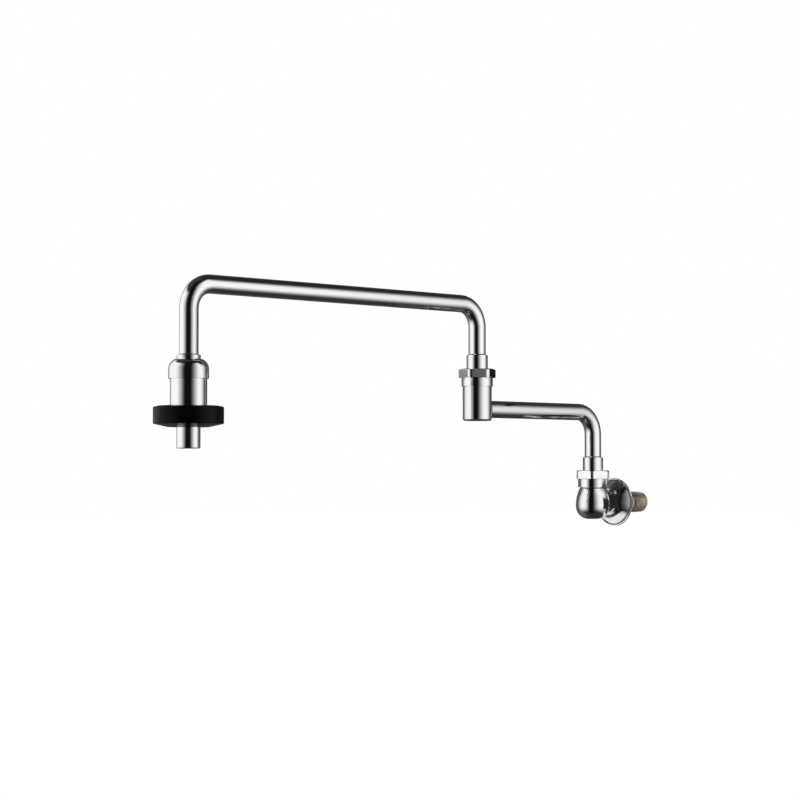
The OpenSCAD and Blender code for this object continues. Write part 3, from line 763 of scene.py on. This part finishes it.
def flag_cloth(name, shade, fades):
    """A sheet that glows in one grey, a painted reflection, and thins out towards its four edges, by
    the given shares of its width and height."""
    material, tree, _ = start_finish(name)
    uv = add_node(tree, "TexCoord", {}, {}).outputs["UV"]
    parts = add_node(tree, "SeparateXYZ", {}, {"Vector": uv})
    covers = []
    for axis, near, far in (("X", fades[0], fades[1]), ("Y", fades[2], fades[3])):
        share = parts.outputs[axis]
        rise = add_node(tree, "MapRange", SMOOTH, {"Value": share, "From Max": near})
        fall = add_node(tree, "MapRange", SMOOTH, {"Value": share, "From Min": 1.0, "From Max": 1 - far})
        covers.append(add_node(tree, "Math", {"operation": "MINIMUM"}, {0: rise, 1: fall}))
    cover = add_node(tree, "Math", {"operation": "MULTIPLY"}, {0: covers[0], 1: covers[1]})
    clear = add_node(tree, "BsdfTransparent", {}, {})
    cloth = add_node(tree, "Emission", {}, {"Color": (shade, shade, shade, 1)})
    mixed = add_node(tree, "MixShader", {}, {0: cover, 1: clear, 2: cloth})
    add_node(tree, "OutputMaterial", {}, {"Surface": mixed})
    return material


def hang_cloth(name, steps, place, fades, shade):
    """A sheet seen only in reflections. Each of its points is put at place(across, up), both from
    0 to 1."""
    bm = bmesh.new()
    bm.loops.layers.uv.new("cloth")
    bmesh.ops.create_grid(bm, x_segments=steps[0], y_segments=steps[1], size=1, calc_uvs=True)
    for vert in bm.verts:
        vert.co = place((vert.co.x + 1) / 2, (vert.co.y + 1) / 2)
    cloth = stage_mesh(name, bm, flag_cloth(name + "_cloth", shade, fades))
    cloth.visible_camera = False
    cloth.visible_diffuse = False
    cloth.visible_shadow = False
    cloth.visible_transmission = False


def hang_flag(name, distance, azimuths, elevations, soft, shade):
    """A curved flag round the object. Its soft edges are given in degrees, in the order of its
    azimuths and elevations."""
    width, height = azimuths[1] - azimuths[0], elevations[1] - elevations[0]
    fades = (soft[0] / width, soft[1] / width, soft[2] / height, soft[3] / height)

    def place(across, up):
        turn, rise = azimuths[0] + width * across, elevations[0] + height * up
        return MIDDLE + direction(turn, rise) * distance

    hang_cloth(name, FLAG_STEPS, place, fades, shade)


def prop_card(name, corner, across_edge, up_edge, shade):
    """A small flat card close to the object, given in millimetres by a corner and its two edges."""

    def place(across, up):
        return (Vector(corner) + Vector(across_edge) * across + Vector(up_edge) * up) * MM

    hang_cloth(name, CARD_STEPS, place, CARD_FADES, shade)


# Name, distance in metres, azimuths, elevations and soft edges in degrees, shade
FLAGS = (
    # Painted reflections: the black line down the front of the upright pieces, and the grey of their two
    # sides
    ("front_flag", 1.07, (-20, 105), (-80, 75), (42, 60, 2, 14), 0.005),
    ("left_flag", 0.9, (-135, -42), (-70, 60), (20, 53, 10, 16), 0.12),
    ("back_flag", 3, (122, 272), (-75, 70), (50, 20, 10, 16), 0.07),
    # Painted reflections: the dark lines above and below the light band of the level tubes
    ("high_back_flag", 2.5, (112, 262), (15, 91), (20, 20, 37, 1), 0.02),
    ("under_flag", 2, (-181, 181), (-91, -5), (0.5, 0.5, 0.5, 50), 0.03),
    ("top_flag", 2, (-110, 60), (36, 91), (14, 14, 12, 1), 0.04),
    ("crown_flag", 2.2, (-181, 181), (44, 91), (0.5, 0.5, 18, 0.5), 0.02),
)
for flag in FLAGS:
    hang_flag(*flag)

# Name, corner and the edges across and up in millimetres, shade
CARDS = (
    # Painted reflection: the light foot of the flange's dish
    ("flange_card", (34, -25, -27), (-84, 29, 0), (3.4, 14.5, 0), 0.85),
    # Painted reflections: the grey and the black side of the middle nut
    ("nut_left_card", (-72, -233, 121), (13, -27, 0), (0, 0, 15), 0.26),
    ("nut_right_card", (6, -125, 121), (30, -2, 0), (0, 0, 15), 0.01),
    # Painted reflections: the dark of the elbow's leg, and of the dish beside it
    ("leg_card", (10, 26, -46), (76, 0, 0), (0, 0, 78), 0.02),
    ("dish_card", (60, -22, -32), (0, 48, 0), (0, 0, 60), 0.02),
    ("leg_side_card", (14, -25, -19), (0, 22, 0), (0, 0, 44), 0.02),
    # Painted reflection: white, between the inlet pipe and the flags behind it
    ("pipe_card", (-5, 62, -50), (85, 0, 0), (0, 0, 90), 1.0),
    # Painted reflections: the dark parts of the flange's rim
    ("rim_top_card", (-72, -60, 14), (46, 0, 0), (0, 0, 20), 0.05),
    ("rim_foot_card", (-72, -60, -30), (46, 0, 0), (0, 0, 18), 0.02),
)
for card in CARDS:
    prop_card(*card)

bpy.context.scene.view_settings.view_transform = "Standard"
